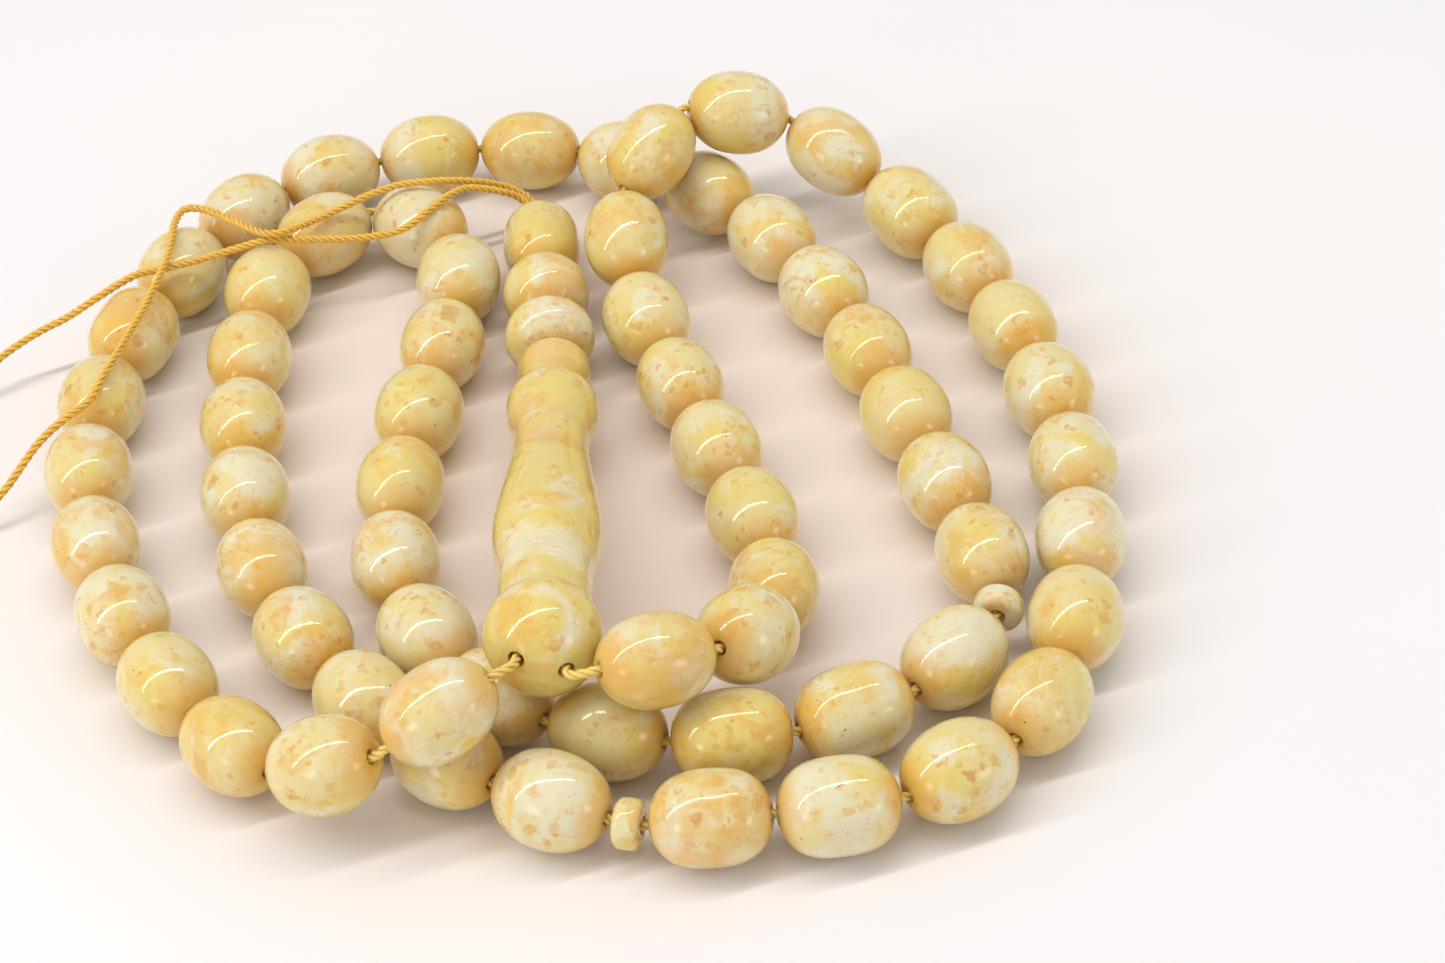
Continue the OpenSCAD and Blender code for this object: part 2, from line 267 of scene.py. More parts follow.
def paint_end_shade(piece, centre, axis, length):
    """How near each point is to a bore mouth, for the painted warm shade that the amber material lays there, where
    the bead meets its neighbours.
    """
    run = np.array([abs((v.co - centre).dot(axis)) / (length / 2) for v in piece.data.vertices], np.float32)
    layer = piece.data.attributes.new("near_mouth", "FLOAT", "POINT")
    layer.data.foreach_set("value", run)


DISC_BORE = 0.9 * MM
DISC_SOFT = 0.9 * MM
DISC_WOBBLE = 0.03 * MM
# The tones of the discs and of the end beads are worked out from numbers that follow these
DISC_TONE = 70
END_TONE = 82


def make_disc(item, material):
    """A short turned ring with rounded rims."""
    half, radius, bore, soft = item["length"] / 2, item["diameter"] / 2, DISC_BORE, DISC_SOFT
    turn = [math.radians(a) for a in range(0, 91, 15)]
    edge = [(radius - soft + soft * math.cos(a), half - soft + soft * math.sin(a)) for a in turn]
    inner = [(bore + 0.1 * MM, half), (bore, half - 0.1 * MM), (bore, 0)]
    low = [(r, -h) for r, h in reversed(edge + inner[:2])]
    piece = lathe(f"amber_disc_{item['number']}", edge + inner + low, item["centre"], item["axis"], material,
                  DISC_WOBBLE, 90 + item["number"])
    tone_piece(piece, DISC_TONE + item["number"])
    return finish_piece(piece, BODY_OF[item["node"]], "disc_amber", item["node"])


# ---- Imame ----
BALL = Vector((-3, -41, 14.7)) * MM
TIP = Vector((-1.8, 13.2, 5.1)) * MM
HOLE_RIGHT = Vector((-0.7, -47, 15.2)) * MM
HOLE_LEFT = Vector((-5.6, -46.5, 16.8)) * MM
IMAME_WAY = (TIP - BALL).normalized()
# The number that the imame's tone is worked out from, as a bead's is from its own: warm and clear
IMAME_TONE = 14
TIP_AT = (TIP - BALL).length
TIP_END = TIP_AT + 2.1 * MM
# Stations of the turned body: distance from the ball's middle, and radius
STATIONS = [(10.6, 4.85), (19, 5.75), (38.5, 4.15), (46, 5.15), (50.6, 3.6), (TIP_AT / MM, 4.1)]
RINGS = [47.9, 48.7, 49.5]
RING_DEPTH = 0.12
JUNCTION_AT = 6
MEET_AT = 9
AXIS_BORE = 2.8
BALL_HOLE = 1.7
BALL_RADIUS = 6
# How far beside the axis each of the two holes ends, and how far outside the ball the drill starts
HOLE_ASIDE = 0.3
DRILL_RUN = 3 * MM
SHARP_EDGE = math.radians(40)


def imame_outline():
    """From the ball's pole over the ball, neck, body, waist, collar and rings to the tip, and back along the bore."""
    neck_turn = math.degrees(math.acos(STATIONS[0][1] / BALL_RADIUS * 0.985))
    steps = 26
    ball = [math.radians(-90 + (90 + neck_turn) * i / steps) for i in range(steps + 1)]
    line = [(BALL_RADIUS * math.cos(a), BALL_RADIUS * math.sin(a)) for a in ball]
    line[0] = (0, -BALL_RADIUS)
    line.append((STATIONS[0][1] - 0.08, line[-1][1] + 0.35))
    for (h0, r0), (h1, r1) in zip(STATIONS, STATIONS[1:]):
        count = max(8, int((h1 - h0) / 0.25)) if h0 > 45 else 22
        for i in range(count):
            h = h0 + (h1 - h0) * i / count
            if h <= line[-1][1] + 0.15:
                continue
            eased = r0 + (r1 - r0) * (1 - math.cos(math.pi * i / count)) / 2
            ring = sum(RING_DEPTH * math.exp(-((h - at) / 0.14) ** 2) for at in RINGS)
            line.append((eased - ring, h))
    tip_high = (TIP_END - TIP_AT) / MM
    for degrees in range(0, 76, 8):
        a = math.radians(degrees)
        line.append((STATIONS[-1][1] * math.cos(a) + 0.4 * math.sin(a), TIP_AT / MM + tip_high * math.sin(a)))
    end = line[-1][1]
    line += [(AXIS_BORE / 2 + 0.3, end + 0.02), (AXIS_BORE / 2, end - 0.25), (AXIS_BORE / 2, 30),
             (AXIS_BORE / 2, JUNCTION_AT + 1), (AXIS_BORE / 4, JUNCTION_AT), (0, JUNCTION_AT)]
    return [(r * MM, h * MM) for r, h in line]


def on_imame(s):
    return BALL + IMAME_WAY * s


def beside(side):
    """The two runs of cord lie side by side inside the imame and the end beads."""
    return Vector((side * (CORD / 2 + 0.03 * MM), 0, 0))


def drill(piece, mouth, inner, radius):
    """Cuts a straight round hole from outside the mouth to the inner point."""
    way = (inner - mouth).normalized()
    start = mouth - way * DRILL_RUN
    depth = (inner - start).length
    cutter = lathe("cutter", [(0, 0), (radius, 0), (radius, depth), (0, depth)], start, way, piece.data.materials[0],
                   closed=False)
    cut = piece.modifiers.new("hole", "BOOLEAN")
    cut.operation = "DIFFERENCE"
    cut.solver = "EXACT"
    cut.object = cutter
    bpy.context.view_layer.update()
    shape = bpy.data.meshes.new_from_object(piece.evaluated_get(bpy.context.evaluated_depsgraph_get()))
    piece.modifiers.clear()
    piece.data = shape
    bpy.data.objects.remove(cutter)


def make_imame(material):
    piece = lathe("amber_imame", imame_outline(), BALL, IMAME_WAY, material, 0.04 * MM, 7, closed=False)
    for mouth, aside in ((HOLE_RIGHT, HOLE_ASIDE), (HOLE_LEFT, -HOLE_ASIDE)):
        drill(piece, mouth, on_imame(MEET_AT * MM) + Vector((aside * MM, 0, 0)), BALL_HOLE / 2 * MM)
    sharp = piece.modifiers.new("edges", "EDGE_SPLIT")
    sharp.split_angle = SHARP_EDGE
    tone_piece(piece, IMAME_TONE)
    return finish_piece(piece, "string", "imame_amber", "imame")


# ---- End beads ----
END_POINTS = [on_imame(TIP_END), Vector((-2.2, 19.4, 5.3)) * MM, Vector((-2.5, 27.8, 5.1)) * MM,
              Vector((-2.9, 38.3, 4.6)) * MM]
END_SIZES = [(7.2, 10.4, OVAL), (8.6, 10.1, OVAL), (11.4, 9.1, BARREL)]
LAST_END = END_POINTS[3] + (END_POINTS[3] - END_POINTS[2]).normalized() * 6.1 * MM


def make_end_bead(i, material):
    joint = next(j for j in frame["joints"] if j["child"] == BODY_OF[f"end_bead_{i}"])
    length, diameter, fullness = END_SIZES[i - 1]
    bore = AXIS_BORE * MM
    outline = bead_outline(length * MM, diameter * MM, fullness, bore + 1.1 * MM, bore + 0.5 * MM, bore)
    piece = lathe(f"amber_end_bead_{i}", outline, Vector(joint["pos_m"]), Vector(joint["axis"]), material,
                  HAND_WOBBLE, 110 + i)
    tone_piece(piece, END_TONE + i)
    paint_end_shade(piece, Vector(joint["pos_m"]), Vector(joint["axis"]), length * MM)
    return finish_piece(piece, BODY_OF[f"end_bead_{i}"], "end_bead_amber", f"end_bead_{i}")


# ---- Cord ----
CORD = 1.0 * MM
TAIL = 0.8 * MM
PLIES = 3
PLY_SIDES = 8
CORD_TWIST = 3.4 * MM
TAIL_TWIST = 2.7 * MM
# The tails' plies are this much fuller than the nominal thickness, and stand this much apart
FLUFF = 1.12
TAIL_SLACK = 1.12
LOOP_SLACK = 1.05

TAIL_A = [
    (-4.5, 48, 5), (-7.5, 48, 7), (-11, 46.5, 9), (-14.5, 45, 10.5), (-19, 44.5, 10.8), (-22.5, 43.5, 10.5),
    (-26, 42, 10), (-29, 40, 10), (-32.5, 36.3, 11.3), (-35, 36.3, 11.4), (-38, 39.3, 10.9),
    (-42, 43.2, 10.5), (-44.6, 43.9, 10.5), (-45.7, 41.5, 10.6), (-45.9, 36.5, 10.8), (-46.4, 32.5, 10.8),
    (-48.2, 25, 10.6), (-50.4, 17.5, 10.6), (-51.8, 13.5, 10.4), (-53.4, 9.8, 9.6), (-56, 7.8, 9),
    (-59.2, 5.4, 7.5), (-63, 1.8, 4.5), (-66.5, -0.5, 2.5), (-70, -2.5, 0.8), (-74, -4, 0.5),
]
TAIL_B = [
    (-5, 46.6, 5.6), (-7.5, 46, 7.5), (-11, 44.8, 9.2), (-13.2, 42.8, 9.9), (-15.6, 40.4, 9.7),
    (-19, 37.8, 9), (-24, 37.2, 8.8), (-29.5, 36.8, 9.5), (-33, 36.4, 10.2), (-35.5, 36, 10.4),
    (-38.6, 35.8, 9.8), (-42.6, 34.5, 9.7), (-46.7, 33.2, 9.8), (-50, 32.2, 9.9), (-54.3, 29.8, 9),
    (-58, 29, 7.2), (-62, 27.8, 6), (-66, 25.5, 4.8), (-70, 23, 2.8), (-74, 20.5, 0.8), (-78, 18.5, 0.5),
]


def smooth(points, steps):
    """A curve through the points, as the CAD cords follow them."""
    line = []
    last = len(points) - 1
    for i in range(last):
        a, b, c, d = (points[max(i - 1, 0)], points[i], points[i + 1], points[min(i + 2, last)])
        for j in range(steps):
            t = j / steps
            line.append(0.5 * (2 * b + (c - a) * t + (2 * a - 5 * b + 4 * c - d) * t * t
                               + (3 * b - a - 3 * c + d) * t ** 3))
    return line + [points[-1]]


BRIDGE_STEPS = 6


def bridge(a, way_a, b, way_b):
    """A free stretch of cord from a to b that leaves and arrives in the given directions."""
    reach = (b - a).length * 0.9
    line = []
    for j in range(BRIDGE_STEPS + 1):
        t = j / BRIDGE_STEPS
        line.append(a * (2 * t ** 3 - 3 * t * t + 1) + way_a * reach * (t ** 3 - 2 * t * t + t)
                    + b * (3 * t * t - 2 * t ** 3) + way_b * reach * (t ** 3 - t * t))
    return line


def loop_route(items):
    """The cord from the last end bead through the imame, round the whole loop and back beside itself."""
    def leg(side):
        return [p + beside(side) for p in (LAST_END, END_POINTS[3], END_POINTS[2], END_POINTS[1],
                                           on_imame(TIP_END), on_imame(MEET_AT * MM))]
    right, left = leg(1), leg(-1)
    line = right[:-1]
    here, way = HOLE_RIGHT, (HOLE_RIGHT - right[-1]).normalized()
    line.append(right[-1])
    for item in items:
        start = item["centre"] - item["axis"] * item["length"] / 2
        line += bridge(here, way, start, item["axis"])
        here, way = item["centre"] + item["axis"] * item["length"] / 2, item["axis"]
    line += bridge(here, way, HOLE_LEFT, (left[-1] - HOLE_LEFT).normalized())
    return line + left[::-1]


def even(line, step):
    """The same line with points a step apart."""
    points = np.array([tuple(p) for p in line])
    run = np.r_[0, np.cumsum(np.linalg.norm(np.diff(points, axis=0), axis=1))]
    keep = np.r_[True, np.diff(run) > 1e-9]
    points, run = points[keep], run[keep]
    marks = np.linspace(0, run[-1], max(4, int(run[-1] / step)))
    return np.stack([np.interp(marks, run, points[:, i]) for i in range(3)], axis=1), marks


def carried_sides(line):
    """A direction across the line at each point, carried along it without turning about it."""
    ways = np.gradient(line, axis=0)
    ways /= np.linalg.norm(ways, axis=1)[:, None]
    side = np.array(axes_of(Vector(ways[0]))[0])
    sides = []
    for way in ways:
        side = side - way * (side @ way)
        side /= np.linalg.norm(side)
        sides.append(side)
    sides = np.array(sides)
    return sides, np.cross(ways, sides)


def twisted(name, line, diameter, pitch, material, step=0.35 * MM, slack=1.0):
    """Plies laid round each other along a line. slack above 1 lets the plies stand a little apart."""
    points, marks = even(line, step)
    sides, overs = carried_sides(points)
    ply_radius = diameter / 2 / (1 + 2 / math.sqrt(3))
    offset = (diameter / 2 - ply_radius) * slack
    turns = np.arange(PLY_SIDES) * 2 * math.pi / PLY_SIDES
    vertices, faces, uvs = [], [], []
    for ply in range(PLIES):
        phase = 2 * math.pi * (marks / pitch + ply / PLIES)
        out = np.cos(phase)[:, None] * sides + np.sin(phase)[:, None] * overs
        centre = points + out * offset
        ways = np.gradient(centre, axis=0)
        ways /= np.linalg.norm(ways, axis=1)[:, None]
        across = np.cross(ways, out)
        across /= np.linalg.norm(across, axis=1)[:, None]
        out = np.cross(across, ways)
        plump = ply_radius * (1.06 + 0.05 * np.sin(marks / (7.3 * MM) + ply))
        ring = (centre[:, None] + plump[:, None, None] * (np.cos(turns)[None, :, None] * out[:, None]
                + np.sin(turns)[None, :, None] * across[:, None]))
        base = len(vertices)
        vertices += ring.reshape(-1, 3).tolist()
        for i in range(len(points) - 1):
            v0, v1 = marks[i] / MM, marks[i + 1] / MM
            for j in range(PLY_SIDES):
                k = (j + 1) % PLY_SIDES
                low, high = base + i * PLY_SIDES, base + (i + 1) * PLY_SIDES
                faces.append((low + j, low + k, high + k, high + j))
                u0, u1 = j / PLY_SIDES, (j + 1) / PLY_SIDES
                uvs += [(u0, v0), (u1, v0), (u1, v1), (u0, v1)]
        for ring_start in (base, base + (len(points) - 1) * PLY_SIDES):
            faces.append(tuple(range(ring_start, ring_start + PLY_SIDES)))
            uvs += [(0.5, 0.0)] * PLY_SIDES
    return make_object(name, vertices, faces, material, uvs)


KNOT = 2.2 * MM
BRUSH_FIBRES = 14
FIBRE = 0.14 * MM
FIBRE_TWIST = 0.9 * MM


def make_knot(name, tail_end, way, material, node):
    """A tight overhand knot with a short brush of fibres beyond it."""
    middle = Vector((tail_end.x, tail_end.y, KNOT / 2)) + way * KNOT / 2
    side, over = axes_of(way)
    size = (KNOT / 2 - TAIL * 0.42) / 3
    line = []
    for i in range(49):
        t = 2 * math.pi * i / 48
        line.append(middle + side * size * (math.sin(t) + 2 * math.sin(2 * t))
                    + over * size * (math.cos(t) - 2 * math.cos(2 * t)) - way * size * 1.8 * math.sin(3 * t))
    piece = twisted(name, line, TAIL * 0.9, TAIL_TWIST, material, 0.1 * MM)
    fibres = []
    for i in range(BRUSH_FIBRES):
        turn = 2.4 * i
        spread = 0.25 * MM * math.sqrt(i / BRUSH_FIBRES)
        root = middle + (side * math.cos(turn) + over * math.sin(turn)) * spread
        tip = root + way * (2.2 + 0.5 * math.sin(5.1 * i)) * MM + (side * math.cos(turn) * 1.6
              + over * math.sin(turn) * 0.6) * spread
        tip.z = max(tip.z, 0.12 * MM)
        fibres.append(twisted(f"fibre_{i}", bridge(root, way, tip, (tip - root).normalized()), FIBRE, FIBRE_TWIST,
                              material, 0.3 * MM))
    bpy.ops.object.select_all(action="DESELECT")
    for one in fibres + [piece]:
        one.select_set(True)
    bpy.context.view_layer.objects.active = piece
    bpy.ops.object.join()
    return finish_piece(piece, "string", "cord_knot", node)


def make_tail(letter, side, route, cord_material):
    points = smooth([LAST_END + beside(side)] + [Vector(p) * MM for p in route], 8)
    way = (points[-1] - Vector(route[-2]) * MM).normalized()
    knot_way = Vector((way.x, way.y, 0)).normalized()
    knot = make_knot(f"tail_knot_{letter}_twisted", points[-1], knot_way, cord_material, f"tail_knot_{letter}")
    piece = twisted(f"tail_{letter}_twisted", points, TAIL * FLUFF, TAIL_TWIST, cord_material, 0.25 * MM,
                    TAIL_SLACK)
    finish_piece(piece, "string", "cord", f"tail_cord_{letter}")


# ---- Materials ----
def new_material(name):
    material = bpy.data.materials.new(name)
    material.use_nodes = True
    tree = material.node_tree
    tree.nodes.clear()
    return material, tree


def add(tree, kind, values=None, **settings):
    """A node with its settings, and each input either a value or another node's output."""
    node = tree.nodes.new("ShaderNode" + kind)
    for key, value in settings.items():
        setattr(node, key, value)
    for key, value in (values or {}).items():
        if isinstance(value, bpy.types.NodeSocket):
            tree.links.new(value, node.inputs[key])
        else:
            node.inputs[key].default_value = value
    return node


def mix(tree, share, a, b):
    return add(tree, "Mix", {0: share, 6: a, 7: b}, data_type="RGBA").outputs[2]


def sweep(tree, value, low, high, out_low=0.0, out_high=1.0):
    """0 to 1, or the range given, as value goes from low to high, eased at both ends."""
    return add(tree, "MapRange", {0: value, 1: low, 2: high, 3: out_low, 4: out_high},
               interpolation_type="SMOOTHSTEP").outputs[0]


def maths(tree, operation, a, b=0.0, c=0.0):
    return add(tree, "Math", {0: a, 1: b, 2: c}, operation=operation).outputs[0]


def cloud(tree, place, scale, detail=3.0, distortion=0.0, roughness=0.5, colour=False):
    node = add(tree, "TexNoise", {"Vector": place, "Scale": scale, "Detail": detail, "Distortion": distortion,
                                  "Roughness": roughness})
    return node.outputs[1 if colour else 0]


def in_millimetres(tree):
    """The point on the surface, in millimetres of the shared frame at rest."""
    place = add(tree, "TexCoord").outputs["Object"]
    return add(tree, "VectorMath", {0: place, 1: (1000, 1000, 1000)}, operation="MULTIPLY").outputs[0]


def warped(tree, place, amount, scale):
    """The place pushed about by up to amount, so that cell edges aren't straight."""
    push = add(tree, "VectorMath", {0: cloud(tree, place, scale, 2.0, colour=True), 1: (0.5, 0.5, 0.5)},
               operation="SUBTRACT").outputs[0]
    push = add(tree, "VectorMath", {0: push, "Scale": amount}, operation="SCALE").outputs[0]
    return add(tree, "VectorMath", {0: place, 1: push}, operation="ADD").outputs[0]


CREAM = (0.75, 0.67, 0.37, 1)
LEMON = (0.75, 0.64, 0.24, 1)
MILK = (0.76, 0.745, 0.60, 1)
HONEY = (0.75, 0.45, 0.10, 1)
FLAKE = (0.71, 0.42, 0.085, 1)
OCHRE = (0.60, 0.27, 0.045, 1)
PIT = (0.12, 0.05, 0.015, 1)


def amber(name, base=CREAM, swirls=False, deep=0.0):
    """Amber: cream with lemon and milky clouds, honey zones, painted warm shade towards the mouths, angular flakes,
    fine veins and tiny pits.
    swirls adds the pale turning marks of the imame, and deep makes the whole piece more honey-coloured."""
    material, tree = new_material(name)
    place = in_millimetres(tree)
    tone = add(tree, "SeparateColor", {0: add(tree, "Attribute", attribute_name="tone").outputs["Color"]})
    warm, milky, flaky = tone.outputs
    soft = warped(tree, place, 2.5, 0.3)
    crisp = warped(tree, place, 0.5, 0.9)

    colour = mix(tree, sweep(tree, cloud(tree, place, 0.11, 2.0), 0.44, 0.60), base, LEMON)
    clouds = maths(tree, "ADD", cloud(tree, soft, 0.17, 5.0, 0.8), maths(tree, "MULTIPLY", milky, 0.15))
    colour = mix(tree, sweep(tree, clouds, 0.51, 0.71, 0.0, 0.95), colour, MILK)
    zones = maths(tree, "ADD", cloud(tree, soft, 0.15, 4.0, 0.5, 0.6), maths(tree, "MULTIPLY", warm, 0.13))
    colour = mix(tree, sweep(tree, zones, 0.57 - deep, 0.74 - deep, 0.0, 0.62), colour, HONEY)

    # Painted warm shade: the amber turns honey towards each bore mouth, where the bead meets its neighbours
    near_mouth = add(tree, "Attribute", attribute_name="near_mouth").outputs["Fac"]
    painted_end_shade = maths(tree, "ADD", near_mouth, maths(tree, "MULTIPLY", cloud(tree, soft, 0.25, 3.0), 0.5))
    colour = mix(tree, sweep(tree, painted_end_shade, 0.80, 1.25, 0.0, 0.70), colour, HONEY)

    mottle = sweep(tree, cloud(tree, crisp, 0.75, 4.0, 0.3, 0.65), 0.52, 0.75, 0.0, 0.38)
    colour = mix(tree, mottle, colour, HONEY)
    patches = sweep(tree, cloud(tree, place, 0.19, 2.0), 0.48, 0.62)
    marble = cloud(tree, warped(tree, place, 0.8, 1.2), 0.9, 5.0, 0.6, 0.7)
    marbled = maths(tree, "MULTIPLY", patches, sweep(tree, marble, 0.50, 0.68, 0.0, 0.62))
    colour = mix(tree, marbled, colour, FLAKE)

    # Angular flakes: how small, how rare and how strong each kind is
    for size, share, strength in ((0.40, 0.955, 0.50), (0.75, 0.930, 0.62), (1.3, 0.955, 0.60)):
        ragged = warped(tree, place, 0.55 / size, size * 2.2)
        cells = add(tree, "TexVoronoi", {"Vector": ragged, "Scale": size})
        cell = add(tree, "SeparateColor", {0: cells.outputs["Color"]})
        chosen = sweep(tree, maths(tree, "ADD", cell.outputs[0], maths(tree, "MULTIPLY", flaky, 0.05)),
                       share + 0.02, share + 0.028)
        edges = add(tree, "TexVoronoi", {"Vector": ragged, "Scale": size}, feature="DISTANCE_TO_EDGE")
        inside = sweep(tree, edges.outputs["Distance"], 0.02, 0.16)
        inner = sweep(tree, cloud(tree, place, 1.1, 3.0), 0.30, 0.62, 0.15, strength)
        flake = maths(tree, "MULTIPLY", maths(tree, "MULTIPLY", chosen, inside), inner)
        colour = mix(tree, flake, colour, mix(tree, sweep(tree, cell.outputs[1], 0.55, 0.95), FLAKE, OCHRE))

    web = add(tree, "TexVoronoi", {"Vector": warped(tree, place, 2.6, 0.55), "Scale": 0.24},
              feature="DISTANCE_TO_EDGE")
    vein = maths(tree, "MULTIPLY", sweep(tree, web.outputs["Distance"], 0.018, 0.003),
                 sweep(tree, cloud(tree, place, 0.35, 2.0), 0.52, 0.66, 0.0, 0.42))
    colour = mix(tree, vein, colour, OCHRE)

    if swirls:
        colour, marks = turning_marks(tree, place, colour)

    holes = add(tree, "TexVoronoi", {"Vector": place, "Scale": 0.55})
    hole = add(tree, "SeparateColor", {0: holes.outputs["Color"]})
    pit = maths(tree, "MULTIPLY", sweep(tree, holes.outputs["Distance"], 0.075, 0.045),
                sweep(tree, hole.outputs[2], 0.80, 0.81, 0.0, 0.8))
    colour = mix(tree, pit, colour, PIT)

    grain = cloud(tree, place, 3.2, 5.0, 0.0, 0.6)
    wear = cloud(tree, place, 0.5, 3.0)
    height = maths(tree, "SUBTRACT", maths(tree, "MULTIPLY", grain, 0.35), maths(tree, "MULTIPLY", pit, 1.5))
    if swirls:
        height = maths(tree, "ADD", height, maths(tree, "MULTIPLY", marks, 0.7))
    bump = add(tree, "Bump", {"Strength": 0.30, "Distance": 0.03 * MM, "Height": height})
    shader = add(tree, "BsdfPrincipled", {
        "Base Color": colour, "Roughness": sweep(tree, wear, 0.35, 0.65, 0.14, 0.24), "IOR": 1.54,
        "Normal": bump.outputs[0], "Subsurface Weight": 0.65, "Subsurface Radius": (1.0, 0.55, 0.20),
        "Subsurface Scale": 3.4 * MM, "Specular IOR Level": 0.15, "Coat Weight": 0.85,
        "Coat Roughness": 0.01, "Coat IOR": 1.42, "Coat Tint": (1.0, 0.965, 0.86, 1)})
    add(tree, "OutputMaterial", {"Surface": shader.outputs[0]})
    return material


def turning_marks(tree, place, colour):
    """Fine pale rings left by the lathe, strongest in front of the neck and on the belly, round the imame's axis."""
    offset = add(tree, "VectorMath", {0: place, 1: tuple(BALL / MM)}, operation="SUBTRACT").outputs[0]
    along = add(tree, "VectorMath", {0: offset, 1: tuple(IMAME_WAY)}, operation="DOT_PRODUCT").outputs["Value"]
    waved = maths(tree, "ADD", along, maths(tree, "MULTIPLY", cloud(tree, place, 0.16, 2.0), 5.5))
    lines = maths(tree, "SINE", maths(tree, "MULTIPLY", waved, 9.0))
    fine = maths(tree, "SINE", maths(tree, "MULTIPLY", waved, 23.0))
    marks = maths(tree, "MULTIPLY", maths(tree, "ADD", sweep(tree, lines, 0.1, 0.9, 0.0, 0.65),
                                         sweep(tree, fine, 0.2, 1.0, 0.0, 0.35)),
                  sweep(tree, cloud(tree, place, 0.3, 3.0), 0.38, 0.58))
    belly = maths(tree, "MULTIPLY", sweep(tree, along, 6.0, 8.5), sweep(tree, along, 16.0, 11.5))
    drift = maths(tree, "MULTIPLY", cloud(tree, place, 0.3, 3.0), 0.8)
    milk = sweep(tree, maths(tree, "ADD", belly, drift), 0.9, 1.4, 0.0, 0.65)
    colour = mix(tree, milk, colour, MILK)
    shown = maths(tree, "MULTIPLY", marks, belly)
    return mix(tree, maths(tree, "MULTIPLY", shown, 0.75), colour, (0.92, 0.88, 0.76, 1)), shown


def silk(name, light, dark):
    """Glossy twisted thread: fine light and dark fibres along each ply."""
    material, tree = new_material(name)
    uv = add(tree, "TexCoord").outputs["UV"]
    split = add(tree, "SeparateXYZ", {0: uv})
    around, along = split.outputs[0], split.outputs[1]
    lay = maths(tree, "ADD", maths(tree, "MULTIPLY", around, 6.283 * 9), maths(tree, "MULTIPLY", along, 5.0))
    place = in_millimetres(tree)
    stray = cloud(tree, place, 1.6, 3.0)
    fibres = maths(tree, "SINE", maths(tree, "ADD", lay, maths(tree, "MULTIPLY", stray, 9.0)))
    share = sweep(tree, maths(tree, "ADD", fibres, maths(tree, "MULTIPLY", stray, 1.2)), -0.7, 1.8)
    colour = mix(tree, share, dark, light)
    bump = add(tree, "Bump", {"Strength": 0.6, "Distance": 0.03 * MM, "Height": fibres})
    shader = add(tree, "BsdfPrincipled", {
        "Base Color": colour, "Roughness": sweep(tree, stray, 0.3, 0.7, 0.26, 0.44), "IOR": 1.5,
        "Normal": bump.outputs[0], "Anisotropic": 0.5, "Sheen Weight": 0.3, "Sheen Roughness": 0.4,
        "Sheen Tint": (1.0, 0.75, 0.35, 1), "Subsurface Weight": 0.3, "Subsurface Radius": (1.0, 0.6, 0.2),
        "Subsurface Scale": 0.3 * MM})
    add(tree, "OutputMaterial", {"Surface": shader.outputs[0]})
    return material


# ---- Floor and light ----
FLOOR_REACH = 3.0
FLOOR_PALE = (0.885, 0.87, 0.865, 1)
FLOOR_COOL = (0.865, 0.85, 0.865, 1)
# Painted warm shade: the floor inside the loop is darker and warmer, standing for the shade there and the light that
# has passed through the amber
FLOOR_PAINTED_WARM_SHADE = (0.86, 0.735, 0.66, 1)
LAMP_COLOUR = (1.0, 0.98, 0.95)


def make_floor():
    material, tree = new_material("table")
    place = add(tree, "TexCoord").outputs["Object"]
    tint = sweep(tree, cloud(tree, place, 9.0, 3.0), 0.35, 0.65)
    colour = mix(tree, tint, FLOOR_PALE, FLOOR_COOL)
    away = add(tree, "VectorMath", {0: place}, operation="LENGTH").outputs["Value"]
    # Painted warm shade, full within 30 mm of the middle of the string and gone by 85 mm
    colour = mix(tree, sweep(tree, away, 0.085, 0.03, 0.0, 0.8), colour, FLOOR_PAINTED_WARM_SHADE)
    bump = add(tree, "Bump", {"Strength": 0.08, "Distance": 0.2 * MM, "Height": cloud(tree, place, 400.0, 3.0)})
    shader = add(tree, "BsdfPrincipled", {"Base Color": colour, "Roughness": 0.55, "Normal": bump.outputs[0]})
    add(tree, "OutputMaterial", {"Surface": shader.outputs[0]})
    corners = [(-FLOOR_REACH, -FLOOR_REACH, 0), (FLOOR_REACH, -FLOOR_REACH, 0), (FLOOR_REACH, FLOOR_REACH, 0),
               (-FLOOR_REACH, FLOOR_REACH, 0)]
    floor = make_object("table", corners, [(0, 1, 2, 3)], material)


def make_world(strength, colour):
    world = bpy.data.worlds.new("world")
    bpy.context.scene.world = world
    world.use_nodes = True
    background = world.node_tree.nodes["Background"]
    background.inputs[0].default_value = colour
    background.inputs[1].default_value = strength


def make_strip(name, centre, way, length, width, watts, colour):
    """A long thin area lamp over the string, facing it."""
    data = bpy.data.lights.new(name, "AREA")
    data.shape = "RECTANGLE"
    data.size, data.size_y = length, width
    data.energy = watts
    data.color = colour
    lamp = bpy.data.objects.new(name, data)
    bpy.context.scene.collection.objects.link(lamp)
    back = centre.normalized()
    x = (way - back * way.dot(back)).normalized()
    turn = Matrix((x, back.cross(x), back)).transposed()
    lamp.matrix_world = Matrix.Translation(centre) @ turn.to_4x4()
    lamp.visible_camera = False


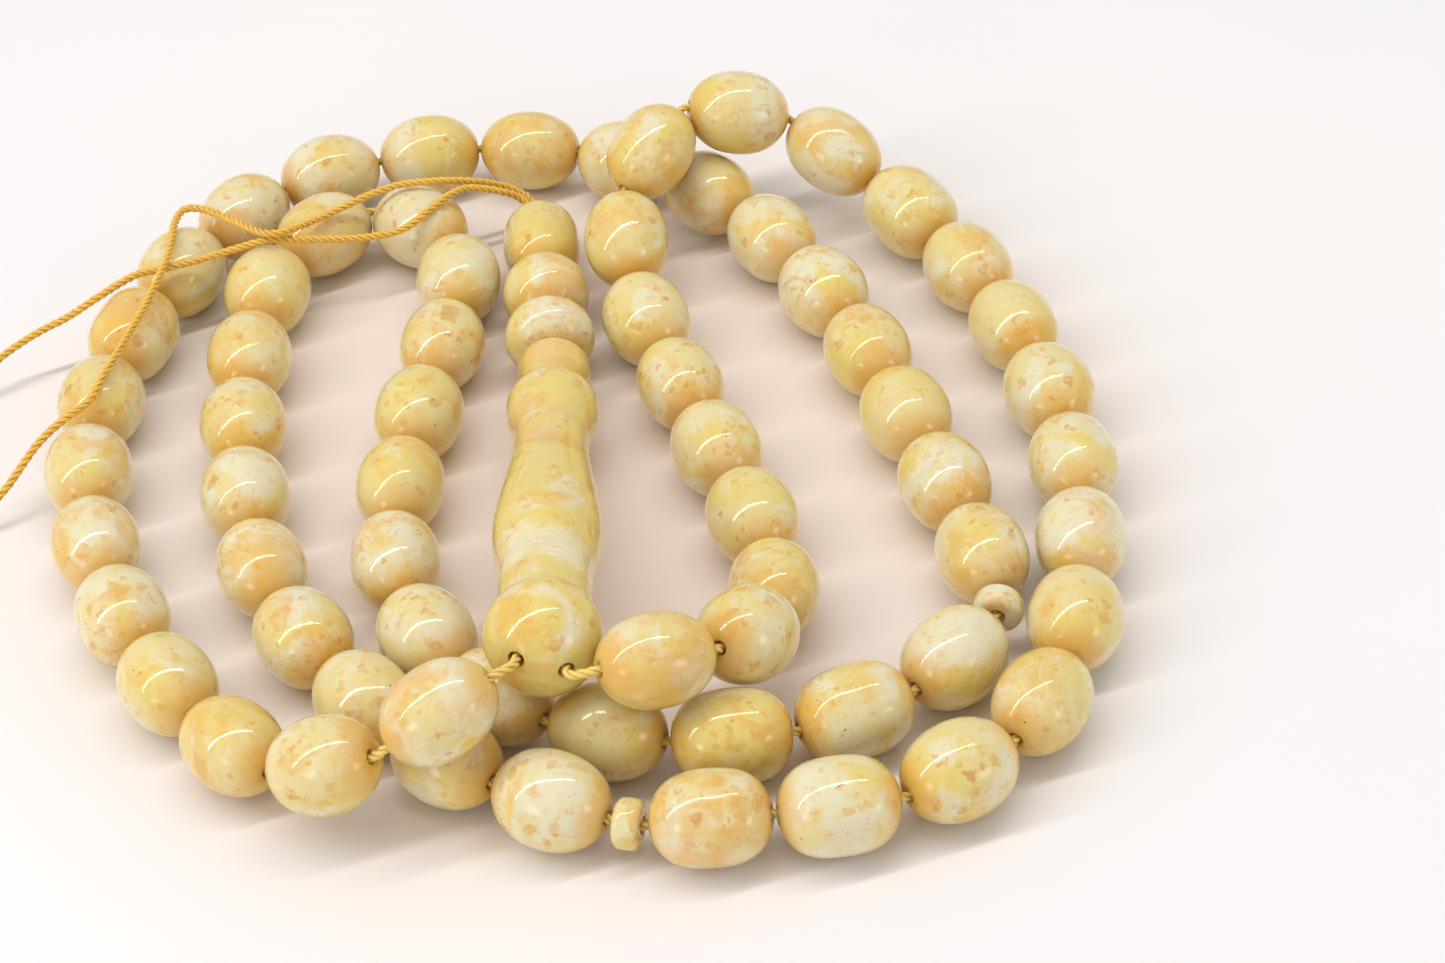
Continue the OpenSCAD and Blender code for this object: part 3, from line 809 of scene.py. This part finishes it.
def make_glow(name, centre, radius, strength, colour):
    """A round lamp that is brightest in its middle and fades out to its edge, facing the string."""
    material, tree = new_material(name)
    place = add(tree, "TexCoord").outputs["Object"]
    away = add(tree, "VectorMath", {0: place}, operation="LENGTH").outputs["Value"]
    light = add(tree, "Emission", {"Color": colour,
                                   "Strength": sweep(tree, away, radius, 0.15 * radius, 0.0, strength)})
    add(tree, "OutputMaterial", {"Surface": light.outputs[0]})
    count = 32
    points = [(radius * math.cos(2 * math.pi * i / count), radius * math.sin(2 * math.pi * i / count), 0)
              for i in range(count)]
    lamp = make_object(name, points, [tuple(range(count))], material)
    lamp.matrix_world = Matrix.Translation(centre) @ centre.to_track_quat("Z", "Y").to_matrix().to_4x4()
    lamp.visible_camera = False


def light_stage():
    """Soft white surroundings, a long strip overhead for the thin arc on each bead, and two round glows in front."""
    make_world(strength=0.58, colour=(1.0, 0.985, 0.985, 1))
    left, right = Vector((-0.56, -0.16, 0.60)), Vector((0.14, 0.06, 0.60))
    make_strip("overhead_strip", (left + right) / 2, right - left, length=1.7, width=0.052, watts=4.3,
               colour=LAMP_COLOUR)
    for name, place in (("left_glow", (-0.48, -0.55, 0.20)), ("right_glow", (0.58, -0.42, 0.19))):
        make_glow(name, Vector(place), radius=0.20, strength=4.5, colour=(*LAMP_COLOUR, 1))
    view = bpy.context.scene.view_settings
    view.view_transform = "Standard"
    view.exposure = 0.0


# ---- The whole scene ----
make_camera()
cord_silk = silk("cord_silk", (1.0, 0.82, 0.27, 1), (0.94, 0.60, 0.12, 1))
tail_silk = silk("tail_silk", (1.0, 0.67, 0.13, 1), (0.88, 0.46, 0.05, 1))
make_tail("a", 1, TAIL_A, tail_silk)
make_tail("b", -1, TAIL_B, tail_silk)
strung = strung_pieces()
loop = twisted("loop_cord_twisted", loop_route(strung), CORD, CORD_TWIST, cord_silk, slack=LOOP_SLACK)
finish_piece(loop, "string", "cord", "loop_cord")

bead_amber = amber("bead_amber")
disc_amber = amber("disc_amber", LEMON, deep=0.04)
for item in strung:
    if item["kind"] == "bead":
        make_bead(item, bead_amber)
    else:
        make_disc(item, disc_amber)
make_imame(amber("imame_amber", LEMON, swirls=True))
end_amber = amber("end_bead_amber", LEMON, deep=0.02)
for i in (1, 2, 3):
    make_end_bead(i, end_amber)

make_floor()
light_stage()
